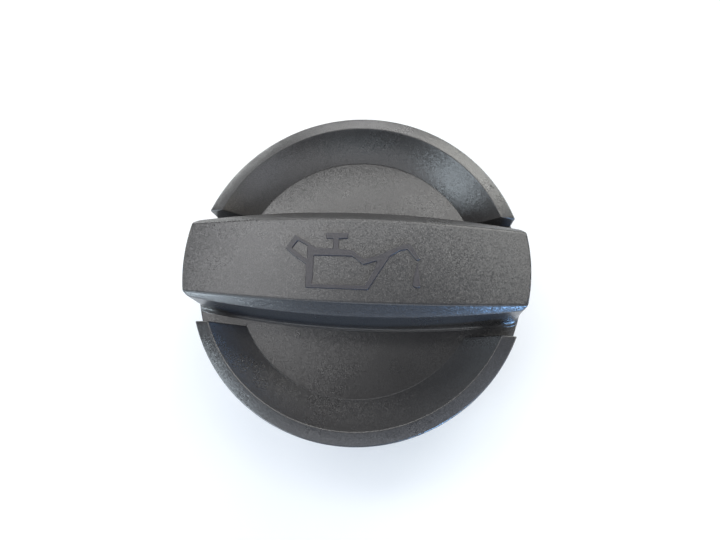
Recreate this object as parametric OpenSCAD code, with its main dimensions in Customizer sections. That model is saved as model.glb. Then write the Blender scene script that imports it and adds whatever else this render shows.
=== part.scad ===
// Oil filler cap of a car engine: a moulded head with a grip bar across it,
// a bayonet plug that snaps into the head from below, and a rubber seal ring.
// Origin: middle of the plug's lower end. +Z is up, and the grip runs along X.

/* [Head] */
// Radius of the head over its rim
head_r = 36; // [34.5:0.5:42]
// Wall thickness of the moulded head
wall = 2.4; // [1.6:0.1:3]
// Length of the outer wall below the top of the disc
skirt_h = 12; // [9:0.5:18]
// Width in plan of the sloped rim outside the ridge
rim_w = 2.9; // [2:0.1:4]
// Fall of the rim from the ridge to its outer edge
rim_drop = 0.75; // [0.3:0.05:1.5]
// Height of the ridge above the disc
ridge_h = 5.2; // [3.5:0.1:7]
// Width in plan of the dished bowl inside the ridge
bowl_w = 6.3; // [5:0.1:8]
// Radius of the bowl's hollow curve in section
bowl_curve_r = 18; // [10:1:60]
// Step from the edge of the disc down into the bowl
disc_step = 0.4; // [0.35:0.05:0.8]
// Radius of the disc's upper edge
disc_edge_r = 0.3; // [0.1:0.05:0.3]
// Width of the straight channel that the grip stands in
channel_w = 25; // [24.4:0.1:30]
// Radius of the rim's outer edge and of the ridge
edge_r = 0.5; // [0.2:0.1:1]

/* [Grip] */
// Height of the grip above the disc at its middle
grip_h = 12.7; // [12:0.1:18]
// Width of the grip where its chamfer starts, at its middle
grip_w = 21.8; // [18:0.2:22]
// Height above the disc at which the chamfer starts
chamfer_start = 10.1; // [8:0.1:10.6]
// Slope of the chamfer from the horizontal
chamfer_angle = 48; // [38:1:60]
// Radius in plan of the grip's bulging sides
side_curve_r = 215; // [180:5:600]
// Radius of the crown along the grip
crown_r = 350; // [280:5:900]
// Draft of the grip's walls
draft = 3.5; // [1:0.25:5]
// Radius of the grip's upright corners where the chamfer starts
corner_r = 1.8; // [1:0.1:2.6]
// Radius of the hollow fillet round the foot of the grip
foot_fillet = 1; // [0.4:0.1:1.1]
// How far the fillet's curve runs under the surfaces that it joins
foot_sink = 0.05; // [0.02:0.01:0.1]
// Distance of the grip's ends in from the outer wall, at the disc
end_setback = 0.15; // [0.1:0.05:0.8]
// Thickness that the end walls of the grip have beyond the other walls
end_extra = 0.4; // [0.2:0.1:1]

/* [Coring under the head] */
// Thickness of the ribs and webs under the head
rib_t = 1.6; // [1:0.1:2.4]
// Distance between the webs that cross the hollow grip
web_pitch = 10.5; // [8:0.5:12]
// Number of webs that cross the hollow grip
web_count = 5; // [3:2:5]
// Number of radial ribs between the snap wall and the outer wall
rib_count = 16; // [8:2:24]
// Height of the low ribs between the disc and the plug's flange
pad_h = 1.2; // [0.8:0.1:2.5]
// Distance of the radial ribs above the lower edge of the outer wall
rib_setback = 5; // [3:0.5:6.5]

/* [Snap joint] */
// Thickness of the round wall that holds the plug's flange
snap_wall = 2; // [1.4:0.1:2.6]
// Clearance between the flange and that wall
snap_gap = 0.2; // [0.1:0.05:0.3]
// Reach of the snap bead under the flange, from that wall
snap_bead = 0.6; // [0.4:0.05:0.9]
// Clearance between the bead and the flange
bead_gap = 0.1; // [0.05:0.05:0.2]
// Length of the snap wall below the flange
snap_drop = 1.6; // [1.3:0.1:3]
// Number of keys that stop the plug from turning in the head
key_count = 4; // [2:1:6]
// Width of each key
key_w = 6; // [4:0.5:8]
// Reach of each key in from the snap wall
key_reach = 2; // [1.2:0.1:2.4]
// Clearance between a key and the sides of its notch
key_gap = 0.15; // [0.05:0.05:0.3]

/* [Bayonet plug] */
// Length of the plug below its flange
plug_len = 18.5; // [17:0.5:26]
// Outer radius of the plug
plug_r = 18.5; // [16:0.25:19]
// Wall thickness of the plug
plug_wall = 2.2; // [1.6:0.1:3]
// Lead-in chamfer at the plug's lower end
plug_chamfer = 1; // [0.5:0.1:1.4]
// Reach of the flange beyond the seal ring
flange_margin = 3.3; // [2.8:0.1:3.6]
// Thickness of the flange
flange_t = 2.4; // [1.8:0.1:3.2]
// Chamfer of the flange's upper edge, which opens the snap wall
flange_chamfer = 0.6; // [0.3:0.1:1]
// Thickness of the cross ribs inside the plug
cross_t = 1.8; // [1.2:0.1:3]
// Depth of the cross ribs below the flange's underside
cross_h = 7; // [4:0.5:12]
// Reach of the bayonet lugs out from the plug
lug_reach = 3.8; // [2.5:0.1:5]
// Angle that each lug covers
lug_angle = 50; // [35:1:70]
// Height of the lugs above the plug's lower end
lug_start = 2; // [1.5:0.1:3]
// Height of each lug where its ramp meets the stop
lug_h = 4.6; // [4:0.1:6]
// Rise of the ramp along the top of each lug
lug_rise = 1.4; // [0.5:0.1:2]
// Chamfer of each lug's lower edge
lug_chamfer = 1.2; // [0.5:0.1:2]
// Height of the stop that stands on each lug's high end
stop_h = 3; // [1.5:0.1:4]
// Angle that each stop covers
stop_angle = 7; // [5:0.5:12]

/* [Seal ring] */
// Width of the seal ring in section
seal_w = 5; // [4:0.1:5.3]
// Thickness of the seal ring without its lip
seal_t = 2.2; // [1.5:0.1:3]
// Height of the lip that meets the filler neck
lip_h = 1.2; // [0.6:0.1:1.4]
// Width of the flat crest of the lip
lip_flat = 1.2; // [0.6:0.1:1.6]
// Slope of the lip's sides from the upright
lip_slope = 30; // [15:1:35]
// Chamfer of the seal ring's lower edges
seal_chamfer = 0.3; // [0.1:0.1:0.5]
// Clearance between the seal ring and the plug
seal_gap = 0.2; // [0.1:0.05:0.4]
// Reach of the bead that keeps the seal ring on the plug
keep_bead = 0.5; // [0.3:0.05:0.7]
// Height of that bead
keep_h = 1.2; // [0.8:0.1:2]
// Clearance between that bead and the seal ring
keep_gap = 0.1; // [0.05:0.05:0.3]

/* [Hidden] */

// Levels, counted up from the plug's lower end
flange_z = plug_len;
flange_top = flange_z + flange_t;
under_z = flange_top + pad_h;
disc_z = under_z + wall;
skirt_z = disc_z - skirt_h;
ridge_z = disc_z + ridge_h;
rim_z = ridge_z - rim_drop;
chamfer_z = disc_z + chamfer_start;
crown_z = disc_z + grip_h;
snap_z = flange_z - snap_drop;
seal_z = flange_z - seal_t;
lug_top = lug_start + lug_h;

// Radii
ridge_r = head_r - rim_w;
disc_r = ridge_r - bowl_w;
skirt_in_r = head_r - wall;
plug_in_r = plug_r - plug_wall;
lug_r = plug_r + lug_reach;
seal_in_r = plug_r + seal_gap;
seal_out_r = seal_in_r + seal_w;
flange_r = seal_out_r + flange_margin;
snap_in_r = flange_r + snap_gap;
snap_out_r = snap_in_r + snap_wall;
key_in_r = snap_in_r - key_reach;

// Centres in plan of the arcs that bound the grip where its chamfer starts: its
// side, and the upright corner that touches both the side and the round end
side_centre = side_curve_r - grip_w / 2;
end_at_chamfer = head_r - end_setback - chamfer_start * tan(draft);
corner_y = (pow(side_curve_r - corner_r, 2) - pow(end_at_chamfer - corner_r, 2) - pow(side_centre, 2))
    / (2 * side_centre);
corner_at = [sqrt(pow(end_at_chamfer - corner_r, 2) - pow(corner_y, 2)), corner_y];
to_side = (corner_at + [0, side_centre]) / norm(corner_at + [0, side_centre]);
to_end = corner_at / norm(corner_at);

// How far joined solids sink into each other, and a length that passes them all
join = 0.5;
reach = 2 * head_r;

// Fineness of ordinary, large and small circles
$fn = 144;
long_fn = 720;
small_fn = 48;

head_colour = [0.22, 0.22, 0.23];
plug_colour = [0.16, 0.16, 0.17];
seal_colour = [0.1, 0.1, 0.11];

// What a rounding takes off a corner: its centre and radius, the directions
// of its two ends, and the sharp corner itself. The outline runs well outside
// the corner, so that it never lies along a surface that stays.
module corner_waste(centre, r, angle_a, angle_b, corner) {
    difference() {
        polygon([
            centre,
            centre + 2 * r * [cos(angle_a), sin(angle_a)],
            2 * corner - centre,
            centre + 2 * r * [cos(angle_b), sin(angle_b)]
        ]);
        translate(centre)
            circle(r, $fn = small_fn);
    }
}

// A slab along the grip, as wide on each side of it
module slab(half_w, z_low, z_high) {
    translate([-reach, -half_w, z_low])
        cube([2 * reach, 2 * half_w, z_high - z_low]);
}

// Section of a round plate with its upper edge rounded
module plate_section(r, z_low, z_high, round_r) {
    difference() {
        translate([0, z_low])
            square([r, z_high - z_low]);
        corner_waste([r - round_r, z_high - round_r], round_r, 0, 90, [r, z_high]);
    }
}

// Section of the ring: dished bowl, rounded ridge, sloped rim and outer wall
module ring_section() {
    foot = [disc_r, disc_z - disc_step];
    ridge = [ridge_r, ridge_z];
    chord = ridge - foot;
    lift = sqrt(pow(bowl_curve_r, 2) - pow(norm(chord) / 2, 2));
    bowl_centre = (foot + ridge) / 2 + lift * [-chord[1], chord[0]] / norm(chord);
    slope = atan(rim_drop / rim_w);
    out = [sin(slope), cos(slope)];
    down = [cos(slope), -sin(slope)];
    // The ridge's rounding touches both the curve of the bowl and the rim
    back = ridge - edge_r * out - bowl_centre;
    shift = sqrt(pow(back * down, 2) - back * back + pow(bowl_curve_r + edge_r, 2)) - back * down;
    ridge_centre = ridge - edge_r * out + shift * down;
    to_bowl = bowl_centre - ridge_centre;
    rim_centre = [head_r - edge_r, rim_z + edge_r * tan(slope) - edge_r / cos(slope)];
    difference() {
        polygon([
            [disc_r - join, skirt_z],
            [disc_r - join, disc_z],
            ridge,
            [head_r, rim_z],
            [head_r, skirt_z]
        ]);
        translate(bowl_centre)
            circle(bowl_curve_r, $fn = long_fn);
        corner_waste(ridge_centre, edge_r, atan2(to_bowl[1], to_bowl[0]), 90 - slope, ridge);
        corner_waste(rim_centre, edge_r, 90 - slope, 0, [head_r, rim_z]);
    }
}

// Disc and ring, with the channel cut through the ring down to the disc's level
module dished_top() {
    difference() {
        rotate_extrude() {
            plate_section(disc_r, skirt_z, disc_z, disc_edge_r);
            ring_section();
        }
        slab(channel_w / 2, under_z, crown_z);
    }
    intersection() {
        rotate_extrude()
            plate_section(head_r, skirt_z, disc_z, edge_r);
        slab(channel_w / 2, skirt_z, crown_z);
    }
}

// Hollow fillet between the disc and a drafted wall of foot radius r. Its curve
// crosses both surfaces a little steeply, so that no edge fades out to nothing.
module foot_section(r) {
    across = foot_fillet - foot_sink - foot_fillet * tan(draft);
    up = foot_fillet - foot_sink;
    difference() {
        translate([r - join, disc_z - join])
            square([join + across, join + up]);
        translate([r + across, disc_z + up])
            circle(foot_fillet, $fn = small_fn);
    }
}

// Section of a plain drafted wall, with radius r at the level of the chamfer's start
module drafted_section(r, z_low, z_high) {
    polygon([
        [0, z_low],
        [r + (chamfer_z - z_low) * tan(draft), z_low],
        [r - (z_high - chamfer_z) * tan(draft), z_high],
        [0, z_high]
    ]);
}

// Section of the grip's bulging side, wall and chamfer, moved in by the inset
module side_section(inset, z_low) {
    wall_r = side_curve_r - inset / cos(draft);
    rise = inset * (1 / cos(draft) - 1 / sin(chamfer_angle)) / (1 / tan(chamfer_angle) - tan(draft));
    bend = [wall_r - rise * tan(draft), chamfer_z + rise];
    polygon([
        [0, z_low],
        [wall_r + (chamfer_z - z_low) * tan(draft), z_low],
        bend,
        [bend[0] - (crown_z - bend[1]) / tan(chamfer_angle), crown_z],
        [0, crown_z]
    ]);
}

// One bulging side of the grip, as a slice of a very wide turned body
module grip_side(side, inset, z_low) {
    translate([0, -side * side_centre, 0])
        rotate_extrude($fn = long_fn) {
            side_section(inset, z_low);
            if (inset == 0)
                foot_section(side_curve_r + chamfer_start * tan(draft));
        }
}

// The round body that shapes both ends of the grip. The space inside the grip
// stops a little earlier, so that the end walls are thicker.
module grip_end(inset, z_low) {
    end_r = head_r - end_setback - (inset == 0 ? 0 : inset + end_extra);
    rotate_extrude()
        polygon([
            [0, z_low],
            [end_r, z_low],
            [end_r, disc_z],
            [end_r - grip_h * tan(draft), crown_z],
            [0, crown_z]
        ]);
}

// What the rounding takes off one upright corner of the grip: a sector between
// the directions in which the rounding meets the side and the end
module corner_cut(z_low) {
    far = 2 * corner_r;
    difference() {
        translate([0, 0, z_low - join])
            linear_extrude(crown_z - z_low + join)
                polygon([
                    corner_at,
                    corner_at + far * to_side,
                    corner_at + far * (to_side + to_end),
                    corner_at + far * to_end
                ]);
        translate(corner_at)
            rotate_extrude() {
                drafted_section(corner_r, z_low - 2 * join, crown_z + join);
                foot_section(corner_r + chamfer_start * tan(draft));
            }
    }
}

// The grip above level z_low with sharp upright corners, or with an inset the
// space inside its walls
module grip_form(inset, z_low) {
    intersection() {
        grip_end(inset, z_low);
        translate([0, 0, crown_z - crown_r])
            rotate([90, 0, 0])
                cylinder(r = crown_r - inset, h = reach, center = true, $fn = long_fn);
        grip_side(1, inset, z_low);
        grip_side(-1, inset, z_low);
    }
}

// The grip bar, which is rooted in the disc and has its four corners rounded
module grip_bar() {
    root_z = disc_z - wall / 2;
    difference() {
        grip_form(0, root_z);
        for (turn = [0, 180])
            rotate(turn) {
                corner_cut(root_z);
                mirror([0, 1, 0])
                    corner_cut(root_z);
            }
    }
}

// Space under the raised ring, which stops short of the channel
module ring_pocket() {
    foot = [disc_r, disc_z - disc_step];
    steep = (ridge_z - foot[1]) / bowl_w;
    half_chord = norm([bowl_w, ridge_z - foot[1]]) / 2;
    sag = bowl_curve_r - sqrt(pow(bowl_curve_r, 2) - pow(half_chord, 2));
    roof_drop = (wall + sag) * sqrt(1 + steep * steep);
    in_r = max(snap_out_r, disc_r + (under_z - foot[1] + roof_drop) / steep);
    in_z = foot[1] + steep * (in_r - disc_r) - roof_drop;
    out_z = foot[1] + steep * (skirt_in_r - disc_r) - roof_drop;
    difference() {
        rotate_extrude()
            polygon([
                [in_r, under_z - join],
                [skirt_in_r, under_z - join],
                [skirt_in_r, min(out_z, rim_z - wall)],
                [in_r, in_z]
            ]);
        slab(channel_w / 2 + wall, skirt_z, crown_z);
    }
}

// All that is hollow under the head, before its ribs are left standing
module head_hollow() {
    translate([0, 0, skirt_z - join])
        cylinder(r = skirt_in_r, h = under_z - skirt_z + join);
    ring_pocket();
    grip_form(wall, under_z - join);
}

// Snap wall, webs across the grip and radial ribs, taller than the hollow
module head_ribs() {
    difference() {
        translate([0, 0, snap_z])
            cylinder(r = snap_out_r, h = crown_z - snap_z);
        translate([0, 0, snap_z - join])
            cylinder(r = snap_in_r, h = crown_z - snap_z + 2 * join);
    }
    intersection() {
        translate([0, 0, flange_top])
            cylinder(r = snap_in_r + join, h = crown_z - flange_top);
        for (i = [0 : web_count - 1])
            translate([(i - (web_count - 1) / 2) * web_pitch - rib_t / 2, -head_r, flange_top])
                cube([rib_t, 2 * head_r, crown_z - flange_top]);
    }
    for (i = [0 : rib_count - 1])
        rotate((i + 0.5) * 360 / rib_count)
            translate([snap_out_r - join, -rib_t / 2, skirt_z + rib_setback])
                cube([skirt_in_r - snap_out_r + 2 * join, rib_t, crown_z - skirt_z]);
}

// Bead inside the snap wall, flat above and sloped below for pressing the plug in
module snap_bead_ring() {
    rotate_extrude()
        polygon([
            [snap_in_r + join, snap_z],
            [snap_in_r, snap_z],
            [snap_in_r - snap_bead, snap_z + snap_bead],
            [snap_in_r - snap_bead, flange_z - bead_gap],
            [snap_in_r + join, flange_z - bead_gap]
        ]);
}

// Keys that stand in from the snap wall and stop the plug from turning
module keys(in_r, width, z_low, z_high) {
    for (i = [0 : key_count - 1])
        rotate((i + 0.5) * 360 / key_count)
            translate([in_r, -width / 2, z_low])
                cube([snap_in_r + join - in_r, width, z_high - z_low]);
}

module cap_head() {
    color(head_colour) {
        difference() {
            union() {
                dished_top();
                grip_bar();
            }
            difference() {
                head_hollow();
                head_ribs();
            }
        }
        snap_bead_ring();
        keys(key_in_r, key_w, flange_z, under_z + join);
    }
}

// One bayonet lug on the +X side. Its top is a ramp that rises to the stop.
module lug() {
    middle_r = (plug_r + lug_r) / 2;
    end_y = middle_r * sin(lug_angle / 2);
    stop_y = middle_r * sin(lug_angle / 2 - stop_angle);
    slope = lug_rise / (end_y + stop_y);
    top_z = lug_top + stop_h;
    difference() {
        rotate(-lug_angle / 2)
            rotate_extrude(angle = lug_angle)
                polygon([
                    [plug_r - join, lug_start],
                    [lug_r - lug_chamfer, lug_start],
                    [lug_r, lug_start + lug_chamfer],
                    [lug_r, top_z - stop_h / 2],
                    [lug_r - stop_h / 2, top_z],
                    [plug_r - join, top_z]
                ]);
        translate([plug_r - 2 * join, 0, 0])
            rotate([90, 0, 90])
                linear_extrude(lug_reach + 4 * join)
                    polygon([
                        [-lug_r, lug_top - slope * (lug_r + stop_y)],
                        [stop_y, lug_top],
                        [stop_y, top_z + join],
                        [-lug_r, top_z + join]
                    ]);
    }
}

module bayonet_plug() {
    color(plug_colour) {
        difference() {
            rotate_extrude()
                polygon([
                    [0, flange_z],
                    [flange_r, flange_z],
                    [flange_r, flange_top - flange_chamfer],
                    [flange_r - flange_chamfer, flange_top],
                    [0, flange_top]
                ]);
            keys(key_in_r - key_gap, key_w + 2 * key_gap, flange_z - join, flange_top + join);
        }
        rotate_extrude()
            polygon([
                [plug_in_r, 0],
                [plug_r - plug_chamfer, 0],
                [plug_r, plug_chamfer],
                [plug_r, seal_z - keep_gap - keep_h],
                [plug_r + keep_bead, seal_z - keep_gap - keep_bead],
                [plug_r + keep_bead, seal_z - keep_gap],
                [plug_r, seal_z - keep_gap],
                [plug_r, flange_z + join],
                [plug_in_r, flange_z + join]
            ]);
        for (turn = [0, 90])
            rotate(turn)
                translate([-plug_in_r - join, -cross_t / 2, flange_z - cross_h])
                    cube([2 * (plug_in_r + join), cross_t, cross_h + join]);
        for (turn = [0, 180])
            rotate(turn)
                lug();
    }
}

module seal_ring() {
    lip_r = (seal_in_r + seal_out_r) / 2;
    lip_foot = lip_flat / 2 + lip_h * tan(lip_slope);
    color(seal_colour)
        rotate_extrude()
            polygon([
                [seal_in_r, flange_z],
                [seal_in_r, seal_z + seal_chamfer],
                [seal_in_r + seal_chamfer, seal_z],
                [lip_r - lip_foot, seal_z],
                [lip_r - lip_flat / 2, seal_z - lip_h],
                [lip_r + lip_flat / 2, seal_z - lip_h],
                [lip_r + lip_foot, seal_z],
                [seal_out_r - seal_chamfer, seal_z],
                [seal_out_r, seal_z + seal_chamfer],
                [seal_out_r, flange_z]
            ]);
}

cap_head();
bayonet_plug();
seal_ring();
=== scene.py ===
# %% [markdown]
# # An oil filler cap, dressed in Blender
# The cap is a dark moulded head with a grip bar, a bayonet plug below it and a
# rubber ring. Its solids come from the CAD model as a fixed frame. Here each
# gets its finish, and the head gets the small roundings that a mould gives.

# %% Load the frame
import math

import bmesh
import bpy
from mathutils import Matrix, Vector
from mathutils.geometry import tessellate_polygon


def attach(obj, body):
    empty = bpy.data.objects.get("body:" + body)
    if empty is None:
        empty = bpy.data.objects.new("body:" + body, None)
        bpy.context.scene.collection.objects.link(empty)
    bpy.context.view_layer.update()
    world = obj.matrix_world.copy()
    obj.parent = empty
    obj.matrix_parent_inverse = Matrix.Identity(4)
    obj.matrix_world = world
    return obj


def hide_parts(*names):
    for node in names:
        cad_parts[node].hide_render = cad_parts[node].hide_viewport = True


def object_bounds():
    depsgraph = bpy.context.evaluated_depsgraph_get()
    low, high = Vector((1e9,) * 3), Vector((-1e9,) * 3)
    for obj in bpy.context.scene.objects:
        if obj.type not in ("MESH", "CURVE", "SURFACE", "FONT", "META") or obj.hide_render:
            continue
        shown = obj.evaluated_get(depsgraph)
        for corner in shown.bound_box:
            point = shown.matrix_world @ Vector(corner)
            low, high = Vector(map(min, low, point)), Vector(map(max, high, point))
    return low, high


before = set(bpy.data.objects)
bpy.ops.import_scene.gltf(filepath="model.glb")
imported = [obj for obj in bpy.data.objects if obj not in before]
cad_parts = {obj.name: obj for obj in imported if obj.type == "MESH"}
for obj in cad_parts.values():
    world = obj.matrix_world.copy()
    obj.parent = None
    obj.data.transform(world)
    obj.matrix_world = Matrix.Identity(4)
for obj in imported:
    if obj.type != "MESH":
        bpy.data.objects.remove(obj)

MM = 0.001
cad_low, cad_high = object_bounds()
print("CAD box in mm", [round(v / MM, 2) for v in (*cad_low, *cad_high)])

# %% [markdown]
# ## The photograph's camera
# The round rim, the ridge and the disc show as three ellipses in the
# photograph, and they fix the camera: a phone's wide lens held close above the
# cap and a little in front. A wide lens this near makes the grip look larger
# than the disc below it, so the distance matters as much as the angle. The
# three turns are applied one after the other, which is easier to follow than a
# single set of Euler angles.

# %% Camera
SENSOR_MM = 36.0
LENS_MM = 24.983
NEAREST, FARTHEST = 0.005, 10.0
CAMERA_PLACE = Vector((0.010824, -0.025238, 0.132333))
CAMERA_TURNS = ((3.352, "Z"), (4.565, "Y"), (13.978, "X"))

camera_data = bpy.data.cameras.new("photo_camera")
camera_data.sensor_width = SENSOR_MM
camera_data.lens = LENS_MM
camera_data.clip_start = NEAREST
camera_data.clip_end = FARTHEST
camera = bpy.data.objects.new("photo_camera", camera_data)
turn = Matrix.Identity(4)
for degrees, axis in CAMERA_TURNS:
    turn = turn @ Matrix.Rotation(math.radians(degrees), 4, axis)
camera.matrix_world = Matrix.Translation(CAMERA_PLACE) @ turn
bpy.context.scene.collection.objects.link(camera)
bpy.context.scene.camera = camera
print("camera is", round(CAMERA_PLACE.z / MM), "mm above the floor")

# %% [markdown]
# ## Sizes of the head
# The frame is in metres, but a part this small is easier to think of in
# millimetres. The head's radius and the top of the grip are read from the
# frame, and the other sizes step inwards and down from them as in the CAD
# source. A few small ones differ from it by about a fifth of a millimetre, as
# the photograph's shading asks: the bowl's curve is flatter, the disc's step
# lower and softer, and the ridge a little sharper.

# %% Sizes in millimetres
GRIP_H = 12.7
SKIRT_H = 12.0
WALL = 2.4
RIM_W = 2.9
RIM_DROP = 0.75
RIDGE_H = 5.2
BOWL_W = 6.3
BOWL_CURVE_R = 30.0
DISC_STEP = 0.2
CHANNEL_HALF = 12.5
EDGE_R = 0.5
RIDGE_EDGE_R = 0.3

HEAD_R = round(cad_high.x / MM, 2)
CROWN_Z = round(cad_high.z / MM, 2)
DISC_Z = round(CROWN_Z - GRIP_H, 2)
SKIRT_Z = DISC_Z - SKIRT_H
SKIRT_IN_R = HEAD_R - WALL
RIDGE_R = HEAD_R - RIM_W
RIDGE_Z = DISC_Z + RIDGE_H
RIM_Z = RIDGE_Z - RIM_DROP
DISC_R = RIDGE_R - BOWL_W
print("head radius", HEAD_R, "disc radius", round(DISC_R, 2), "disc height", DISC_Z)

# %% [markdown]
# ## Two helpers
# Most forms here are lists of points and faces that a loop works out. That
# gives full control over edges of a few tenths of a millimetre, where a chain
# of modifiers would guess. One helper turns such lists into a piece, and one
# gives the points of an arc.

# %% Piece maker and arcs
def make_piece(name, points, faces, flat_faces=()):
    """A smooth-shaded mesh from points in mm; the faces in flat_faces stay flat."""
    mesh = bpy.data.meshes.new(name)
    mesh.from_pydata([[MM * c for c in p] for p in points], [], faces)
    mesh.validate()
    flat = set(flat_faces)
    for index, face in enumerate(mesh.polygons):
        face.use_smooth = index not in flat
    mesh.update()
    piece = bpy.data.objects.new(name, mesh)
    bpy.context.scene.collection.objects.link(piece)
    return piece


def arc_points(centre, radius, start, end, count):
    """Points of an arc in a plane, with angles in degrees."""
    points = []
    for i in range(count + 1):
        a = math.radians(start + (end - start) * i / count)
        points.append((centre[0] + radius * math.cos(a), centre[1] + radius * math.sin(a)))
    return points


print("a quarter arc in two steps:", [[round(c, 3) for c in p] for p in arc_points((0, 0), 1, 0, 90, 2)])

# %% [markdown]
# ## Section of the raised ring
# Outside the disc the head rises as a hollow curve to a ridge, and a narrow
# rim falls away outside it. On the real part this is one turned form in the
# mould. It is drawn once as a line of radius and height, with a small arc at
# the ridge and at the rim, and then swept round. A bevel modifier could round
# the ridge too, but it would round every other edge as well. The arc at the
# ridge touches both the bowl's curve and the rim's slope, so its centre is
# worked out.

# %% Ring section
BOWL_STEPS = 26
RIDGE_STEPS = 10
RIM_STEPS = 8
UNDER_DISC = 0.8

foot = Vector((DISC_R, DISC_Z - DISC_STEP))
ridge = Vector((RIDGE_R, RIDGE_Z))
chord = ridge - foot
lift = math.sqrt(BOWL_CURVE_R**2 - (chord.length / 2) ** 2)
bowl_centre = (foot + ridge) / 2 + lift * Vector((-chord.y, chord.x)).normalized()

rim_slope = math.atan2(RIDGE_Z - RIM_Z, HEAD_R - RIDGE_R)
rim_out = Vector((math.sin(rim_slope), math.cos(rim_slope)))
rim_down = Vector((math.cos(rim_slope), -math.sin(rim_slope)))
back = ridge - RIDGE_EDGE_R * rim_out - bowl_centre
along = back.dot(rim_down)
shift = math.sqrt(along**2 - back.dot(back) + (BOWL_CURVE_R + RIDGE_EDGE_R) ** 2) - along
ridge_centre = ridge - RIDGE_EDGE_R * rim_out + shift * rim_down
to_bowl = bowl_centre - ridge_centre
rim_centre_z = RIM_Z + EDGE_R * math.tan(rim_slope) - EDGE_R / math.cos(rim_slope)
rim_centre = Vector((HEAD_R - EDGE_R, rim_centre_z))

start_r = DISC_R - UNDER_DISC
start_drop = math.sqrt(BOWL_CURVE_R**2 - (start_r - bowl_centre.x) ** 2)
start_at = Vector((start_r, bowl_centre.y - start_drop))
bowl_start = math.degrees(math.atan2(start_at.y - bowl_centre.y, start_at.x - bowl_centre.x))
bowl_end = math.degrees(math.atan2(-to_bowl.y, -to_bowl.x))
ridge_angle = math.degrees(math.atan2(to_bowl.y, to_bowl.x))
out_angle = 90 - math.degrees(rim_slope)

ring_line = arc_points(bowl_centre, BOWL_CURVE_R, bowl_start, bowl_end, BOWL_STEPS)
ring_line += arc_points(ridge_centre, RIDGE_EDGE_R, ridge_angle, out_angle, RIDGE_STEPS)[1:]
ring_line += arc_points(rim_centre, EDGE_R, out_angle, 0, RIM_STEPS)
ring_line.append((HEAD_R, DISC_Z - EDGE_R))
print("ring section has", len(ring_line), "points")

# %% [markdown]
# ## The two halves of the ring
# The straight channel cuts the ring in two. Each half is swept from wall to
# wall of the channel. Where the sweep meets the wall the edge is rounded a
# quarter of a millimetre: the last columns of points step inwards along the
# section's own normals, which gives a true rounding and not a painted one.

# %% Columns of the sweep
WALL_EDGE_R = 0.25
EDGE_STEPS = 5
SWEEP_STEPS = 96


def line_normals(line):
    """Outward normals of a line of points that is walked with its outside on the left."""
    normals = []
    for i, point in enumerate(line):
        before = Vector(line[max(i - 1, 0)])
        after = Vector(line[min(i + 1, len(line) - 1)])
        step = (after - before).normalized()
        normals.append(Vector((-step.y, step.x)))
    return normals


def ring_columns():
    """Per column: distance from the wall, how far the section is drawn in, share of the sweep."""
    edge = []
    for i in range(EDGE_STEPS + 1):
        a = math.radians(90 * i / EDGE_STEPS)
        edge.append((WALL_EDGE_R * (1 - math.sin(a)), WALL_EDGE_R * (1 - math.cos(a))))
    columns = [(away, drawn_in, 0.0) for away, drawn_in in edge[::-1]]
    columns += [(WALL_EDGE_R, 0.0, i / SWEEP_STEPS) for i in range(1, SWEEP_STEPS)]
    columns += [(away, drawn_in, 1.0) for away, drawn_in in edge]
    return columns


ring_normals = line_normals(ring_line)
print("the sweep has", len(ring_columns()), "columns")

# %% [markdown]
# ## Sweeping a half
# The columns are joined with four-sided faces. Each end gets one flat face,
# which is the wall of the channel, so it keeps flat shading. A full turn cut
# by a boolean would be shorter to write, but its cut edge would stay sharp.

# %% Ring halves
def ring_half(side):
    """Points and faces of the back (1) or the front (-1) half, and its two flat ends."""
    points = []
    columns = ring_columns()
    for away, drawn_in, share in columns:
        for (r, z), normal in zip(ring_line, ring_normals):
            r_in, z_in = r - drawn_in * normal.x, z - drawn_in * normal.y
            start = math.asin((CHANNEL_HALF + away) / r_in)
            angle = start + (math.pi - 2 * start) * share
            points.append((r_in * math.cos(angle), side * r_in * math.sin(angle), z_in))
    rows = len(ring_line)
    faces = []
    for c in range(len(columns) - 1):
        for i in range(rows - 1):
            a = c * rows + i
            quad = [a, a + 1, a + rows + 1, a + rows]
            faces.append(quad if side > 0 else quad[::-1])
    first = list(range(rows))
    last = [len(points) - rows + i for i in range(rows)]
    faces.append(first[::-1] if side > 0 else first)
    faces.append(last if side > 0 else last[::-1])
    return points, faces, [len(faces) - 2, len(faces) - 1]


ring_back = make_piece("ring_back", *ring_half(1))
ring_front = make_piece("ring_front", *ring_half(-1))
print("each ring half has", len(ring_back.data.polygons), "faces")

# %% [markdown]
# ## Disc and channel floor
# The disc ends in a small rounded step above the bowl, but the floor of the
# channel runs on without a step to the outer wall. So the rows of points round
# the disc are shared, and outside them the channel's columns keep their
# distance from the middle line while the bowl's columns step down. Small
# helpers make each kind of row, so that both parts end in the same points.

# %% Rows of points
FLOOR_COLUMNS = 24
BOWL_COLUMNS = 72
STEP_SETBACK = 0.1
MIDDLE_SHARE = 0.6
STEP_START_R = DISC_R - STEP_SETBACK
channel_angle = math.asin(CHANNEL_HALF / STEP_START_R)


def floor_row(r, z, side):
    """A row across the channel at a radius, at the right (1) or the left (-1) end."""
    row = []
    for i in range(FLOOR_COLUMNS + 1):
        a = channel_angle * (2 * i / FLOOR_COLUMNS - 1)
        y = CHANNEL_HALF * math.sin(a) / math.sin(channel_angle)
        row.append((side * math.sqrt(r * r - y * y), side * y, z))
    return row


def bowl_row(r, z, side):
    """A row round the edge of the disc, from one wall of the channel to the other."""
    start = math.asin(CHANNEL_HALF / r)
    row = []
    for i in range(BOWL_COLUMNS + 1):
        angle = start + (math.pi - 2 * start) * i / BOWL_COLUMNS
        row.append((side * r * math.cos(angle), side * r * math.sin(angle), z))
    return row


def towards_middle(row):
    """The same row drawn in towards the middle of the disc."""
    return [(MIDDLE_SHARE * x, MIDDLE_SHARE * y, z) for x, y, z in row]


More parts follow.
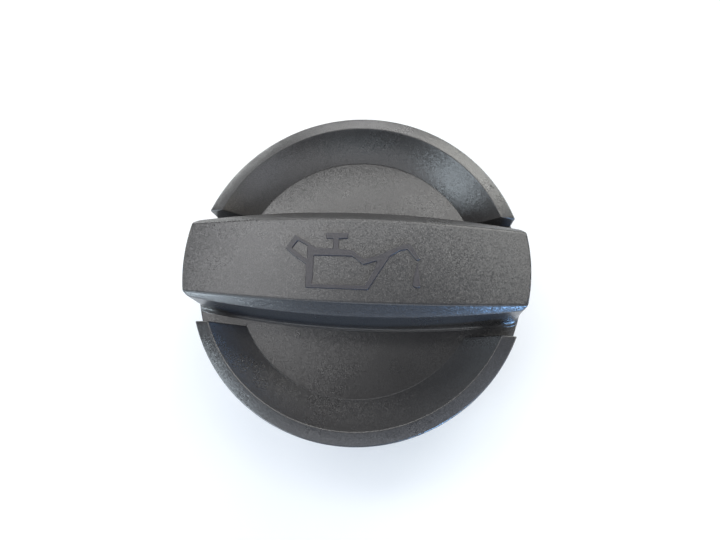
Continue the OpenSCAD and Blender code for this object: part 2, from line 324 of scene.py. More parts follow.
def add_strip(points, faces, rows):
    """Adds rows of equal length, joined with four-sided faces."""
    base = len(points)
    width = len(rows[0])
    for row in rows:
        points.extend(row)
    for j in range(len(rows) - 1):
        for i in range(width - 1):
            a = base + j * width + i
            faces.append([a, a + width, a + width + 1, a + 1])


print("the channel takes", round(2 * math.degrees(channel_angle)), "degrees of the disc's edge")

# %% [markdown]
# ## One mesh for both
# At each end of the channel a strip runs out to the head's edge and rolls over
# it, and on each side a strip rolls over the step. Where the bowl dips below
# the floor, a low cheek closes the side. The middle is one flat face.

# %% Disc and floor
STEP_R = 0.6
FLOOR_EDGE_R = 0.35
ARC_STEPS = 6
FLOOR_PARTS = 4
HIDDEN_DEPTH = 0.9
OVERLAP = 0.1
CHEEK_RUNS = (0.0, 0.5, 1.2)


def floor_rows(side):
    """Rows from the disc out along the channel and over its outer edge."""
    edge_start_r = HEAD_R - FLOOR_EDGE_R
    start = floor_row(STEP_START_R, DISC_Z, side)
    rows = [towards_middle(start), start]
    for part in range(1, FLOOR_PARTS):
        r = STEP_START_R + (edge_start_r - STEP_START_R) * part / FLOOR_PARTS
        rows.append(floor_row(r, DISC_Z, side))
    for r, z in arc_points((edge_start_r, DISC_Z - FLOOR_EDGE_R), FLOOR_EDGE_R, 90, 0, ARC_STEPS):
        rows.append(floor_row(r, z, side))
    rows.append(floor_row(HEAD_R, DISC_Z - EDGE_R - OVERLAP, side))
    return rows


def step_rows(side):
    """Rows from the disc out over the small step and below the bowl."""
    start = bowl_row(STEP_START_R, DISC_Z, side)
    rows = [towards_middle(start), start]
    for r, z in arc_points((STEP_START_R, DISC_Z - STEP_R), STEP_R, 90, 0, ARC_STEPS)[1:]:
        rows.append(bowl_row(r, z, side))
    rows.append(bowl_row(DISC_R, DISC_Z - HIDDEN_DEPTH, side))
    return rows


def cheek(side, y_side):
    """The low wall beside the channel's floor, where the bowl dips below it."""
    wall = []
    for r in (STEP_START_R, *(DISC_R + run for run in CHEEK_RUNS)):
        x = side * math.sqrt(r * r - CHANNEL_HALF**2)
        wall.append([(x, y_side * CHANNEL_HALF, z) for z in (DISC_Z, DISC_Z - HIDDEN_DEPTH)])
    return wall if side * y_side < 0 else wall[::-1]


def disc_and_floor():
    """Points and faces of the disc with both ends of the channel's floor."""
    points = []
    faces = []
    middle = []
    for side in (1, -1):
        add_strip(points, faces, floor_rows(side))
        add_strip(points, faces, step_rows(side))
        for y_side in (1, -1):
            add_strip(points, faces, cheek(side, y_side))
        middle += towards_middle(floor_row(STEP_START_R, DISC_Z, side)[:-1])
        middle += towards_middle(bowl_row(STEP_START_R, DISC_Z, side)[:-1])
    faces.append(list(range(len(points), len(points) + len(middle))))
    points.extend(middle)
    return points, faces


disc_floor = make_piece("disc_floor", *disc_and_floor())
print("disc and floor have", len(disc_floor.data.polygons), "faces")

# %% [markdown]
# ## Outer wall and its lower edge
# The wall of the head is a plain cylinder, and the mould rounds its lower edge
# outside and inside. A line of radius and height is turned once round the
# cap's axis, as on a lathe. The line lies a hair inside the CAD wall, so that
# no two surfaces lie in the same place.

# %% Outer wall
WALL_COLUMNS = 192
LOWER_EDGE_R = 0.35
HAIR = 0.002
INNER_RUN = 1.5


def turned(line, columns):
    """A full turn of a section line, open at both ends."""
    points = []
    for i in range(columns):
        a = 2 * math.pi * i / columns
        points += [(r * math.cos(a), r * math.sin(a), z) for r, z in line]
    rows = len(line)
    faces = []
    for i in range(columns):
        j = (i + 1) % columns
        for k in range(rows - 1):
            faces.append([i * rows + k, i * rows + k + 1, j * rows + k + 1, j * rows + k])
    return points, faces


wall_r = HEAD_R - HAIR
lower_z = SKIRT_Z + LOWER_EDGE_R
lower_r = LOWER_EDGE_R - HAIR
wall_line = [(wall_r, DISC_Z - EDGE_R), (wall_r, (DISC_Z + SKIRT_Z) / 2)]
wall_line += arc_points((HEAD_R - LOWER_EDGE_R, lower_z), lower_r, 0, -90, ARC_STEPS)
wall_line += arc_points((SKIRT_IN_R + LOWER_EDGE_R, lower_z), lower_r, 270, 180, ARC_STEPS)
wall_line.append((SKIRT_IN_R + HAIR, SKIRT_Z + INNER_RUN))
outer_wall = make_piece("outer_wall", *turned(wall_line, WALL_COLUMNS))
print("outer wall has", len(outer_wall.data.polygons), "faces")

# %% [markdown]
# ## The grip bar
# The grip's sides bulge a little, its ends follow the round head, its upright
# corners are rounded, and all its walls lean in by the mould's draft. Every
# point of its outline is kept with its outward normal, so that a wall is made
# by moving the whole outline along the normals as it goes down. A box with
# taper and bevel would come near, but it would not follow the bulge.

# %% Outline of the grip
GRIP_HALF = 10.9
SIDE_R = 215.0
END_R = 35.85
CORNER_R = 1.8
CHAMFER_START = 10.1
CHAMFER_Z = DISC_Z + CHAMFER_START
DRAFT = math.tan(math.radians(3.5))
SIDE_POINTS = 30
CORNER_POINTS = 14
END_POINTS = 14

side_centre = Vector((0, GRIP_HALF - SIDE_R))
end_r_here = END_R - (CHAMFER_Z - DISC_Z) * DRAFT
radii_apart = (SIDE_R - CORNER_R) ** 2 - (end_r_here - CORNER_R) ** 2
corner_y = (radii_apart - side_centre.y**2) / (-2 * side_centre.y)
corner_at = Vector((math.sqrt((end_r_here - CORNER_R) ** 2 - corner_y**2), corner_y))
side_dir = (corner_at - side_centre).normalized()
end_dir = corner_at.normalized()


def grip_quarter():
    """Points and normals from the middle of the back side round to the middle of the right end."""
    outline = []
    side_angle = math.atan2(side_dir.x, side_dir.y)
    for i in range(SIDE_POINTS):
        a = side_angle * i / SIDE_POINTS
        normal = Vector((math.sin(a), math.cos(a)))
        outline.append((side_centre + SIDE_R * normal, normal))
    first = math.atan2(side_dir.y, side_dir.x)
    last = math.atan2(end_dir.y, end_dir.x)
    for i in range(CORNER_POINTS):
        a = first + (last - first) * i / CORNER_POINTS
        normal = Vector((math.cos(a), math.sin(a)))
        outline.append((corner_at + CORNER_R * normal, normal))
    for i in range(END_POINTS + 1):
        a = last * (1 - i / END_POINTS)
        normal = Vector((math.cos(a), math.sin(a)))
        outline.append((end_r_here * normal, normal))
    return outline


quarter = grip_quarter()
print("a quarter of the grip's outline has", len(quarter), "points")

# %% [markdown]
# ## Crown and chamfers
# The crown is one long curve, and the two chamfers are slices of cones, so
# each point of the top takes the lower of the two. They are blended over a
# fraction of a millimetre, which makes the crease soft, as the mould has it.

# %% Heights on the grip
CROWN_R = 350.0
CHAMFER_RISE = math.tan(math.radians(48.0))
CREASE_SOFT = 0.22
SETTLE_TURNS = 40


def crown_height(x):
    """Height of the crown at a distance along the grip."""
    return CROWN_Z - CROWN_R + math.sqrt(CROWN_R**2 - x * x)


def top_height(x, y):
    """Height of crown and chamfer together, with a soft crease between them."""
    crown = crown_height(x)
    reach = SIDE_R - (Vector((x, abs(y))) - side_centre).length
    chamfer = CHAMFER_Z + reach * CHAMFER_RISE
    mix = min(max(0.5 + 0.5 * (chamfer - crown) / CREASE_SOFT, 0.0), 1.0)
    return chamfer + (crown - chamfer) * mix - CREASE_SOFT * mix * (1 - mix)


def wall_top(point, normal):
    """Height at which the wall over this outline point meets the chamfer or the crown."""
    height = 0.0
    for _ in range(SETTLE_TURNS):
        place = point - height * DRAFT * normal
        to_chamfer = (SIDE_R - (place - side_centre).length) * CHAMFER_RISE
        height = min(to_chamfer, crown_height(place.x) - CHAMFER_Z)
    return max(height, 0.0)


print("top of the grip at its middle:", round(top_height(0, 0), 2), "mm")

# %% [markdown]
# ## Walls of the grip
# The quarter outline is mirrored into a closed loop. It is repeated from the
# top edge down the leaning wall, and then out along a round fillet at the
# foot. The fillet is held back at the ends, where the grip meets the head's
# own edge.

# %% Levels of the walls
WALL_SHARES = (0.0, 0.04, 0.3, 0.65, 1.0)
FOOT_R = 1.0
FOOT_STEPS = 8
FOOT_DEPTH = 0.8


def whole_outline():
    """The quarter mirrored into a closed loop of points and normals."""
    loop = []
    for sx, sy in ((1, 1), (1, -1), (-1, -1), (-1, 1)):
        part = [(Vector((sx * p.x, sy * p.y)), Vector((sx * n.x, sy * n.y))) for p, n in quarter]
        part = part if sx * sy > 0 else part[::-1]
        loop += part[:-1]
    return loop


def wall_level(loop, tops, share):
    """The outline at a share of the way down the wall."""
    level = []
    for (p, n), top in zip(loop, tops):
        z = CHAMFER_Z + top + (DISC_Z + FOOT_R - CHAMFER_Z - top) * share
        place = p - (z - CHAMFER_Z) * DRAFT * n
        level.append((place.x, place.y, z))
    return level


def foot_level(loop, step):
    """The outline at a step of the foot's fillet."""
    a = math.radians(90 * step / FOOT_STEPS)
    z = DISC_Z + FOOT_R * (1 - math.sin(a))
    limit = END_R - max(z - DISC_Z, 0) * DRAFT
    level = []
    for p, n in loop:
        place = p - (z - CHAMFER_Z) * DRAFT * n + FOOT_R * (1 - math.cos(a)) * n
        if place.length > limit:
            place = place * (limit / place.length)
        level.append((place.x, place.y, z))
    return level


def grip_levels():
    """All outlines of the grip's walls, from the top edge to below the disc."""
    loop = whole_outline()
    tops = [wall_top(Vector((abs(p.x), abs(p.y))), Vector((abs(n.x), abs(n.y)))) for p, n in loop]
    levels = [wall_level(loop, tops, share) for share in WALL_SHARES]
    levels += [foot_level(loop, step) for step in range(1, FOOT_STEPS + 1)]
    levels.append([(x, y, DISC_Z - FOOT_DEPTH) for x, y, z in levels[-1]])
    return levels


print("the grip's walls have", len(grip_levels()), "levels")

# %% [markdown]
# ## Top of the grip
# The top is made as rows across the grip, with more points near the two
# creases, and a fan closes each end. The edge between top and wall is then
# bevelled a fifth of a millimetre.

# %% Rows of the top
CREASE_LIMIT = 0.985
CREASE_BAND = 0.5
BAND_OF_CHAMFER = 0.45
BAND_OF_HALF = 0.3
MIDDLE_STOPS = (0.85, 0.65, 0.45, 0.22, 0.0)


def crease_at(x, half):
    """Distance of the crease between crown and chamfer from the middle line."""
    reach = (crown_height(x) - CHAMFER_Z) / CHAMFER_RISE
    inner = side_centre.y + math.sqrt((SIDE_R - reach) ** 2 - x * x)
    return min(inner, half * CREASE_LIMIT)


def row_across(x, half):
    """Distances from the middle line, from the edge of the row to its middle."""
    crease = crease_at(x, half)
    band = min(CREASE_BAND, BAND_OF_CHAMFER * (half - crease), BAND_OF_HALF * half)
    stops = [half, (half + crease + band) / 2, crease + band, crease + band / 2, crease]
    stops += [crease - band / 2, crease - band]
    stops += [(crease - band) * t for t in MIDDLE_STOPS]
    return stops


def add_top(mesh, edge_row):
    """Adds the rows across the grip, their faces and the fan at each end."""
    count = len(edge_row)
    size = len(quarter) - 1
    right = [(i, 2 * size - i) for i in range(size)]
    left = [((4 * size - i) % count, 2 * size + i) for i in range(size - 1, 0, -1)]
    across = []
    for back_i, front_i in left + right:
        a, b = edge_row[back_i], edge_row[front_i]
        x, half = a.co.x / MM, a.co.y / MM
        stops = row_across(x, half)
        line = [a]
        for y in stops[1:] + [-s for s in stops[-2:0:-1]]:
            line.append(mesh.verts.new((MM * x, MM * y, MM * top_height(x, y))))
        line.append(b)
        across.append(line)
    for one, two in zip(across, across[1:]):
        for i in range(len(one) - 1):
            mesh.faces.new((one[i], one[i + 1], two[i + 1], two[i]))
    for line, tip in ((across[-1], edge_row[size]), (across[0], edge_row[(3 * size) % count])):
        for i in range(len(line) - 1):
            mesh.faces.new((line[i], line[i + 1], tip))


print("a row across the middle has", 2 * len(row_across(0.0, GRIP_HALF)) - 1, "points")

# %% [markdown]
# ## Putting the grip together
# Walls and top share the row of points along the top edge, so the grip is one
# closed skin down to its foot. A bmesh is used here, because its bevel can
# take just the edges of that row.

# %% Grip
TOP_EDGE_R = 0.2
TOP_EDGE_STEPS = 4


def make_grip():
    """The grip as one smooth-shaded piece with a bevelled top edge."""
    mesh = bmesh.new()
    rows = [[mesh.verts.new([MM * c for c in p]) for p in level] for level in grip_levels()]
    count = len(rows[0])
    for upper, lower in zip(rows, rows[1:]):
        for i in range(count):
            j = (i + 1) % count
            mesh.faces.new((upper[i], upper[j], lower[j], lower[i]))
    add_top(mesh, rows[0])
    bmesh.ops.recalc_face_normals(mesh, faces=mesh.faces)
    top_edge = set(rows[0])
    rim = [e for e in mesh.edges if e.verts[0] in top_edge and e.verts[1] in top_edge]
    bmesh.ops.bevel(
        mesh, geom=rim, offset=TOP_EDGE_R * MM, segments=TOP_EDGE_STEPS, profile=0.5, affect="EDGES"
    )
    data = bpy.data.meshes.new("grip")
    mesh.to_mesh(data)
    mesh.free()
    for face in data.polygons:
        face.use_smooth = True
    piece = bpy.data.objects.new("grip", data)
    bpy.context.scene.collection.objects.link(piece)
    return piece


grip = make_grip()
print("grip has", len(grip.data.polygons), "faces")

# %% [markdown]
# ## The cored underside
# What the mould leaves below the head, the ribs, webs, snap wall and keys, is
# right as the CAD has it. Drawing it again could only make it differ. So its
# faces are copied from the frame, and the faces of the outside are left behind,
# because the pieces above stand for them. Where a face lies and which way it
# looks tells the two apart.

# %% Underside from the frame
A_LITTLE, PARTLY, HALF_WAY, SQUARELY = 0.2, 0.3, 0.5, 0.9
OUTER_BAND = 0.6
RIM_BAND = 1.5
STEP_BAND = 0.3
CLOSE = 0.1
ON_PLANE = 0.01
CHANNEL_RUN_IN = 0.5
FLOOR_BAND = 1.0
GRIP_SIDE_FROM = 6


def is_outside(centre, normal):
    """Whether a face of the CAD head belongs to the outside that is remade here."""
    x, y, z = (c / MM for c in centre)
    r = math.hypot(x, y)
    radial = (x * normal.x + y * normal.y) / max(r, 1e-9)
    on_wall = r > HEAD_R - OUTER_BAND and radial > A_LITTLE
    on_lower_edge = r > SKIRT_IN_R - CLOSE and z < SKIRT_Z + CLOSE
    if on_wall or on_lower_edge:
        return True
    if z < DISC_Z - OUTER_BAND:
        return False
    looks_up = normal.z > A_LITTLE
    on_step = abs(r - DISC_R) < STEP_BAND
    in_plane = abs(abs(y) - CHANNEL_HALF) < ON_PLANE and abs(normal.y) > SQUARELY
    on_channel = in_plane and r > DISC_R - CHANNEL_RUN_IN
    past_ridge = r > RIDGE_R + CLOSE and radial > HALF_WAY
    on_rim = z > DISC_Z and (r > HEAD_R - RIM_BAND or past_ridge)
    looks_out = normal.y * y > 0 and abs(normal.y) > PARTLY
    beside_grip = GRIP_SIDE_FROM < abs(y) < CHANNEL_HALF + CLOSE
    on_grip_side = z > DISC_Z - FLOOR_BAND and beside_grip and looks_out
    return looks_up or on_step or on_channel or on_rim or on_grip_side


def underside():
    """The CAD head without its outside, and how many faces were left out."""
    mesh = bmesh.new()
    mesh.from_mesh(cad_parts["cap_head"].data)
    outside = [f for f in mesh.faces if is_outside(f.calc_center_median(), f.normal)]
    bmesh.ops.delete(mesh, geom=outside, context="FACES")
    data = bpy.data.meshes.new("head_core")
    mesh.to_mesh(data)
    mesh.free()
    piece = bpy.data.objects.new("head_core", data)
    bpy.context.scene.collection.objects.link(piece)
    return piece, len(outside)


head_core, left_out = underside()
print("underside keeps", len(head_core.data.polygons), "faces and leaves", left_out)

# %% [markdown]
# ## The raised oil-can sign
# A plain oil can is the common sign for engine oil. The mould has it cut in, so
# on the grip it stands a third of a millimetre proud with crisp edges. Its
# outlines are drawn in millimetres, and the corners get a small radius as a
# cutter leaves them.

# %% Oil-can outlines
CAN_OUTLINE = [
    (-9.04, -1.16), (-8.74, -5.93), (3.58, -5.92), (7.62, 1.04), (9.47, 2.19), (10.98, 2.59),
    (12.88, 0.34), (13.59, 0.70), (11.61, 3.78), (10.05, 3.49), (7.26, 2.16), (5.00, 0.98),
    (2.50, 0.27), (0.17, 2.00), (-2.66, 2.15), (-2.77, 4.30), (-0.99, 4.40), (-0.91, 5.57),
    (-5.45, 5.44), (-5.36, 4.29), (-3.91, 4.27), (-3.72, 2.22), (-7.27, 2.32), (-11.77, 4.90),
    (-13.49, 2.04), (-11.93, 0.67),
]
HANDLE_HOLE = [(-11.07, 3.74), (-12.21, 2.07), (-8.91, -0.13), (-9.00, 2.67)]
BODY_HOLE = [
    (-7.62, 0.69), (-7.48, -3.62), (-7.56, -5.18), (2.98, -5.10), (4.81, -1.42), (5.15, 0.00),
    (2.40, -0.91), (0.21, 0.75),
]
DROP = [(13.09, 0.14), (12.46, -2.79), (12.21, -4.76), (13.05, -5.10), (13.76, -4.92), (13.53, -2.74)]
CUTTER_R = 0.22
CORNER_STEPS = 4


def rounded(outline, solid_inside):
    """The outline as vectors with its corners softened, and the solid on its left."""
    points = [Vector(p) for p in outline]
    area = sum(a.x * b.y - b.x * a.y for a, b in zip(points, points[1:] + points[:1]))
    if (area > 0) != solid_inside:
        points.reverse()
    line = []
    for i, corner in enumerate(points):
        before, after = points[i - 1] - corner, points[(i + 1) % len(points)] - corner
        start = corner + before.normalized() * min(CUTTER_R, before.length / 3)
        end = corner + after.normalized() * min(CUTTER_R, after.length / 3)
        for step in range(CORNER_STEPS + 1):
            s = step / CORNER_STEPS
            line.append((1 - s) ** 2 * start + 2 * s * (1 - s) * corner + s * s * end)
    return line


can_lines = [rounded(CAN_OUTLINE, True), rounded(HANDLE_HOLE, False), rounded(BODY_HOLE, False)]
drop_lines = [rounded(DROP, True)]
print("outline points:", [len(line) for line in can_lines + drop_lines])

# %% [markdown]
# ## Raising the sign
# Each outline goes up as a wall that leans a little, with a small rounding at
# its top, and then the top is filled. The fill takes the outer line and the
# holes together and cuts the area between them into triangles. All heights
# follow the crown, so the sign stands the same everywhere.

# %% Raised sign
SIGN_HEIGHT = 0.3
SIGN_EDGE_R = 0.11
SIGN_SINK = 0.06
WALL_LEAN = 0.05
EDGE_MIDDLE = SIGN_EDGE_R * 0.3
SIGN_LEVELS = [
    (WALL_LEAN, -SIGN_SINK), (0.0, SIGN_HEIGHT - SIGN_EDGE_R),
    (-EDGE_MIDDLE, SIGN_HEIGHT - EDGE_MIDDLE), (-SIGN_EDGE_R, SIGN_HEIGHT),
]


def moved_out(line, distance):
    """The line moved away from its solid, which lies on its left."""
    moved = []
    for i, point in enumerate(line):
        along = (line[(i + 1) % len(line)] - line[i - 1]).normalized()
        moved.append(point + distance * Vector((along.y, -along.x)))
    return moved


def raised(groups):
    """Walls and filled tops for groups of lines; the top faces come last."""
    points, faces, tops = [], [], []
    for lines in groups:
        top_index = []
        top_lines = []
        for line in lines:
            count = len(line)
            base = len(points)
            for out, height in SIGN_LEVELS:
                for p in moved_out(line, out):
                    points.append((p.x, p.y, crown_height(p.x) + height))
            for level in range(len(SIGN_LEVELS) - 1):
                for i in range(count):
                    j = (i + 1) % count
                    a, b = base + level * count, base + (level + 1) * count
                    faces.append([a + i, a + j, b + j, b + i])
            first_top = base + (len(SIGN_LEVELS) - 1) * count
            top_index += range(first_top, first_top + count)
            top_lines.append([Vector(points[k]) for k in range(first_top, first_top + count)])
        for triangle in tessellate_polygon(top_lines):
            a, b, c = (top_index[k] for k in triangle)
            pa, pb, pc = Vector(points[a]), Vector(points[b]), Vector(points[c])
            up = (pb - pa).cross(pc - pa).z > 0
            tops.append([a, b, c] if up else [c, b, a])
    return points, faces + tops, range(len(faces), len(faces) + len(tops))


sign = make_piece("oil_sign", *raised([can_lines, drop_lines]))
print("sign has", len(sign.data.polygons), "faces")

# %% [markdown]
# ## An etched finish
# The head is nylon with glass fibre, moulded against an etched surface. Close
# up it is a dense field of tiny bumps that catch the light. A Voronoi pattern
# gives facets of about a sixth of a millimetre. Each facet leans its own way
# and has its own shade, and a broad noise makes the gloss uneven. A bump map
# as fine as this would only blur, so the facets turn the normal themselves.

# %% Etched plastic
BROAD_SCALE = 90.0
BROAD_DETAIL = 4.0
GLOSS_SPREAD = 0.05


def vector_node(nodes, operation):
    """A Vector Math node that is set to one operation."""
    node = nodes.new("ShaderNodeVectorMath")
    node.operation = operation
    return node


def lean_normals(nodes, links, facets, tilt):
    """The surface's normal, turned a little by each facet's own random colour."""
    lean = vector_node(nodes, "MULTIPLY_ADD")
    lean.inputs[1].default_value = (2 * tilt,) * 3
    lean.inputs[2].default_value = (-tilt,) * 3
    links.new(facets.outputs["Color"], lean.inputs[0])
    surface = nodes.new("ShaderNodeNewGeometry")
    leaning = vector_node(nodes, "ADD")
    links.new(surface.outputs["Normal"], leaning.inputs[0])
    links.new(lean.outputs["Vector"], leaning.inputs[1])
    facing = vector_node(nodes, "NORMALIZE")
    links.new(leaning.outputs["Vector"], facing.inputs[0])
    return facing.outputs["Vector"]


def plastic(name, colour, rough, shine, facet_mm, tilt, fleck):
    """An etched plastic: tiny facets that each lean their own way, flecks and uneven gloss."""
    material = bpy.data.materials.new(name)
    material.use_nodes = True
    nodes, links = material.node_tree.nodes, material.node_tree.links
    shader = nodes["Principled BSDF"]
    shader.inputs["Specular IOR Level"].default_value = shine
    place = nodes.new("ShaderNodeTexCoord")
    facets = nodes.new("ShaderNodeTexVoronoi")
    facets.inputs["Scale"].default_value = 1.0 / (facet_mm * MM)
    broad = nodes.new("ShaderNodeTexNoise")
    broad.inputs["Scale"].default_value = BROAD_SCALE
    broad.inputs["Detail"].default_value = BROAD_DETAIL
    for pattern in (facets, broad):
        links.new(place.outputs["Object"], pattern.inputs["Vector"])
    links.new(lean_normals(nodes, links, facets, tilt), shader.inputs["Normal"])
    tint = nodes.new("ShaderNodeValToRGB")
    tint.color_ramp.elements[0].color = (*[c * (1 - fleck) for c in colour], 1)
    tint.color_ramp.elements[1].color = (*[c * (1 + fleck) for c in colour], 1)
    split = nodes.new("ShaderNodeSeparateColor")
    links.new(facets.outputs["Color"], split.inputs["Color"])
    links.new(split.outputs["Red"], tint.inputs["Fac"])
    links.new(tint.outputs["Color"], shader.inputs["Base Color"])
    gloss = nodes.new("ShaderNodeMapRange")
    gloss.inputs["To Min"].default_value = rough - GLOSS_SPREAD
    gloss.inputs["To Max"].default_value = rough + GLOSS_SPREAD
    links.new(broad.outputs["Fac"], gloss.inputs["Value"])
    links.new(gloss.outputs["Result"], shader.inputs["Roughness"])
    return material


head_finish = plastic(
    "grained_charcoal", (0.039, 0.0375, 0.0385),
    rough=0.285, shine=0.95, facet_mm=0.155, tilt=0.066, fleck=0.3,
)
print("the head's finish has", len(head_finish.node_tree.nodes), "nodes")

# %% [markdown]
# ## Nicks in the ridge
# A cap that is turned by hand and knocked by tools gets small nicks. Two sit
# at the back right of the ridge and one at the front left. The dents are not
# modelled. Around each place a small round mask takes down the colour, which is
# painted shade for the dent, and roughens the surface.

# %% Nicks
# Darkest painted shade at a nick's heart, as a share of the colour.
NICK_PAINTED_SHADE = 0.25
NICK_CORE = 0.4
HEAD_NICKS = [((28.6, 19.9, 29.3), 0.45), ((29.1, 19.5, 29.2), 0.3), ((-22.7, -27.9, 28.7), 0.5)]


def joined(nodes, links, operation, first, second):
    """The result of a Math node on two inputs, each a socket or a plain number."""
    node = nodes.new("ShaderNodeMath")
    node.operation = operation
    for socket, given in zip(node.inputs, (first, second)):
        if isinstance(given, float):
            socket.default_value = given
        else:
            links.new(given, socket)
    return node.outputs[0]


def nick_and_shade_mask(nodes, links, place, centre, reach):
    """1 away from the nick, and NICK_PAINTED_SHADE at its heart."""
    away = vector_node(nodes, "DISTANCE")
    links.new(place.outputs["Object"], away.inputs[0])
    away.inputs[1].default_value = [MM * c for c in centre]
    bare = nodes.new("ShaderNodeMapRange")
    bare.inputs["From Min"].default_value = NICK_CORE * reach * MM
    bare.inputs["From Max"].default_value = reach * MM
    bare.inputs["To Min"].default_value = NICK_PAINTED_SHADE
    bare.inputs["To Max"].default_value = 1.0
    links.new(away.outputs["Value"], bare.inputs["Value"])
    return bare.outputs["Result"]


def add_nicks_and_painted_shade(material, nicks):
    """Nicks with painted shade: near each centre the colour drops in place of the dent's shade, and the
    surface turns dull.
    """
    nodes, links = material.node_tree.nodes, material.node_tree.links
    shader, place = nodes["Principled BSDF"], nodes["Texture Coordinate"]
    whole = 1.0
    for centre, reach in nicks:
        whole = joined(nodes, links, "MULTIPLY", whole, nick_and_shade_mask(nodes, links, place, centre, reach))
    # Painted shade: the base colour is darkened at each nick in place of the dent's own shade.
    shaded = vector_node(nodes, "SCALE")
    links.new(nodes["Color Ramp"].outputs["Color"], shaded.inputs[0])
    links.new(whole, shaded.inputs["Scale"])
    links.new(shaded.outputs["Vector"], shader.inputs["Base Color"])
    gloss = shader.inputs["Roughness"].links[0].from_socket
    dull = joined(nodes, links, "SUBTRACT", 1.0, whole)
    links.new(joined(nodes, links, "MAXIMUM", gloss, dull), shader.inputs["Roughness"])


add_nicks_and_painted_shade(head_finish, HEAD_NICKS)
print(len(HEAD_NICKS), "nicks in the head's finish")

# %% [markdown]
# ## Finishes of the other pieces
# The sign is smoother than the head, since its hollow in the mould was cut and
# not etched. The plug is a plainer black moulding, and the seal ring is matt
# rubber. All come from the same recipe with other values.

# %% Dress the pieces
sign_finish = plastic(
    "smooth_charcoal", (0.042, 0.039, 0.045), rough=0.38, shine=0.6, facet_mm=0.3, tilt=0.04, fleck=0.1
)
plug_finish = plastic(
    "plain_black", (0.022, 0.022, 0.023), rough=0.4, shine=0.5, facet_mm=0.4, tilt=0.05, fleck=0.2
)
seal_finish = plastic(
    "matt_rubber", (0.016, 0.015, 0.015), rough=0.65, shine=0.4, facet_mm=0.35, tilt=0.08, fleck=0.3
)


def dress(piece, material):
    """Gives a piece one material."""
    piece.data.materials.clear()
    piece.data.materials.append(material)


head_parts = (ring_back, ring_front, disc_floor, outer_wall, grip, head_core)
for piece in head_parts:
    dress(piece, head_finish)
dress(sign, sign_finish)
dress(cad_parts["bayonet_plug"], plug_finish)
dress(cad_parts["seal_ring"], seal_finish)
print("finishes:", [m.name for m in bpy.data.materials])

# %% [markdown]
# ## One head
# All the moulded pieces of the head are one thing on the real cap, so they are
# joined into one piece, which then stands for the CAD head. Parenting would
# leave six pieces in the exported model.

# %% Join the head
for piece in bpy.context.selected_objects:
    piece.select_set(False)
for piece in head_parts:
    piece.select_set(True)
bpy.context.view_layer.objects.active = grip
bpy.ops.object.join()
head = grip
head.name = "moulded_head"
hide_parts("cap_head")
for piece in (head, sign):
    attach(piece, "root")
print("the head has", len(head.data.polygons), "faces")

# %% [markdown]
# ## White paper
# The cap was photographed on white paper. The floor is plain and pale. To
# camera, glossy and transmission rays it shows a little light of its own, so
# that the picture's ground is white, and the cap's soft shadow stays on it.
# Brighter lamps would whiten the paper too, but they would pale the cap.

# %% Floor
FLOOR_SIZE = 1.1
PAPER = (0.8, 0.8, 0.8, 1)
PAPER_ROUGH = 0.9
PAPER_SHINE = 0.2
PAPER_GLOW = 0.2
WHITE = (1, 1, 1, 1)


def seen_directly(nodes, links):
    """1 for camera, glossy and transmission rays."""
    path = nodes.new("ShaderNodeLightPath")
    first = joined(nodes, links, "MAXIMUM", path.outputs["Is Camera Ray"], path.outputs["Is Glossy Ray"])
    return joined(nodes, links, "MAXIMUM", first, path.outputs["Is Transmission Ray"])


floor_finish = bpy.data.materials.new("white_paper")
floor_finish.use_nodes = True
paper_nodes, paper_links = floor_finish.node_tree.nodes, floor_finish.node_tree.links
paper = paper_nodes["Principled BSDF"]
paper.inputs["Base Color"].default_value = PAPER
paper.inputs["Roughness"].default_value = PAPER_ROUGH
paper.inputs["Specular IOR Level"].default_value = PAPER_SHINE
glow = paper_nodes.new("ShaderNodeEmission")
glow.inputs["Color"].default_value = WHITE
glow.inputs["Strength"].default_value = PAPER_GLOW
lit = paper_nodes.new("ShaderNodeAddShader")
paper_links.new(paper.outputs[0], lit.inputs[0])
paper_links.new(glow.outputs[0], lit.inputs[1])
choose = paper_nodes.new("ShaderNodeMixShader")
paper_links.new(seen_directly(paper_nodes, paper_links), choose.inputs[0])
paper_links.new(paper.outputs[0], choose.inputs[1])
paper_links.new(lit.outputs[0], choose.inputs[2])
paper_links.new(choose.outputs[0], paper_nodes["Material Output"].inputs["Surface"])

bpy.ops.mesh.primitive_plane_add(size=FLOOR_SIZE, location=(0, 0, cad_low.z))
floor = bpy.context.object
floor.name = "paper_floor"
dress(floor, floor_finish)
print("floor at", round(floor.location.z / MM, 2), "mm")

# %% [markdown]
# ## The room
# Past the floor the camera sees plain white. The cap itself sees a dim room,
# also in its gloss: the photographed cap has dark sides, where a white room
# would shine, and it has no metal or glass that should show the background.

# %% Room
ROOM_COLOUR = (0.8, 0.85, 0.95, 1)
ROOM_STRENGTH = 0.03

world = bpy.data.worlds.new("plain_room")
bpy.context.scene.world = world
world.use_nodes = True
room_nodes, room_links = world.node_tree.nodes, world.node_tree.links
sky = room_nodes["Background"]
sky.inputs["Color"].default_value = ROOM_COLOUR
sky.inputs["Strength"].default_value = ROOM_STRENGTH
white = room_nodes.new("ShaderNodeBackground")
white.inputs["Color"].default_value = WHITE
white.inputs["Strength"].default_value = 1.0
path = room_nodes.new("ShaderNodeLightPath")
seen = joined(
    room_nodes, room_links, "MAXIMUM", path.outputs["Is Camera Ray"], path.outputs["Is Transmission Ray"]
)
room_mix = room_nodes.new("ShaderNodeMixShader")
room_links.new(seen, room_mix.inputs[0])
room_links.new(sky.outputs[0], room_mix.inputs[1])
room_links.new(white.outputs[0], room_mix.inputs[2])
room_links.new(room_mix.outputs[0], room_nodes["World Output"].inputs["Surface"])
print("the room's own light:", ROOM_STRENGTH)

# %% [markdown]
# ## Lights
# In the photograph the cap lies in a pale room: a tall window in front on the
# left, blue daylight low on the right, a wide soft light in front and bright
# walls behind. Each of these is a soft rectangle that faces the cap from the
# same distance, given by its bearing, its height, its size and its strength in
# red, green and blue. Which light a surface shows follows from its mirror
# direction, and that is how the places were found.

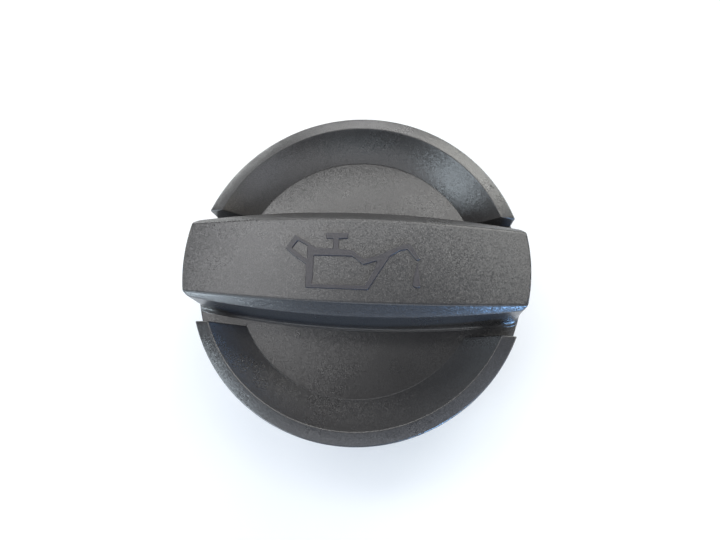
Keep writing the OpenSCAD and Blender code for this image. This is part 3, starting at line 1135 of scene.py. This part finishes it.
# %% Lights
LIGHT_DISTANCE = 0.8
LIGHT_WATTS = 6.3
SOFT_LIGHTS = {
    "window": (209, 25, 0.32, 0.47, (0.35, 0.4, 0.435)),
    "low_window": (231, 7, 0.3, 0.12, (0.22, 0.255, 0.28)),
    "blue_daylight": (303, 10, 0.24, 0.13, (0.2, 0.39, 0.71)),
    "right_front": (325, 30, 0.4, 0.3, (0.097, 0.101, 0.111)),
    "high_right_front": (324, 53, 0.35, 0.22, (0.023, 0.024, 0.025)),
    "front": (266, 47, 1.0, 0.16, (0.155, 0.155, 0.159)),
    "dim_front": (267, 36, 0.5, 0.14, (0.013, 0.018, 0.021)),
    "left_top": (180, 73, 0.25, 0.16, (0.045, 0.045, 0.045)),
    "right_low": (5, 14, 0.3, 0.22, (0.25, 0.23, 0.2)),
    "back_right_low": (45, 14, 0.4, 0.22, (0.28, 0.3, 0.28)),
    "back_left_low": (135, 14, 0.4, 0.22, (0.38, 0.39, 0.39)),
    "back_right_wall": (62, 35, 0.35, 0.2, (0.225, 0.225, 0.215)),
    "back_wall": (97, 31, 0.4, 0.2, (0.19, 0.19, 0.19)),
    "back_above": (100, 64, 0.5, 0.16, (0.17, 0.17, 0.168)),
    "left_above": (155, 58, 0.4, 0.2, (0.13, 0.13, 0.132)),
    "right_above": (42, 56, 0.4, 0.3, (0.155, 0.155, 0.15)),
}


def soft_light(name, bearing, height, wide, high, strength):
    """A soft rectangle of light that faces the cap; its angles are in degrees."""
    data = bpy.data.lights.new(name, "AREA")
    data.shape = "RECTANGLE"
    data.size, data.size_y = wide, high
    data.energy = LIGHT_WATTS * max(strength)
    data.color = [c / max(strength) for c in strength]
    lamp = bpy.data.objects.new(name, data)
    turn, lift = math.radians(bearing), math.radians(height)
    towards = Vector((math.cos(lift) * math.cos(turn), math.cos(lift) * math.sin(turn), math.sin(lift)))
    lamp.location = Vector((0, 0, DISC_Z * MM)) + LIGHT_DISTANCE * towards
    lamp.rotation_euler = (-towards).to_track_quat("-Z", "Y").to_euler()
    bpy.context.scene.collection.objects.link(lamp)


for name, values in SOFT_LIGHTS.items():
    soft_light(name, *values)
bpy.context.scene.view_settings.view_transform = "Standard"
print(len(SOFT_LIGHTS), "soft lights")
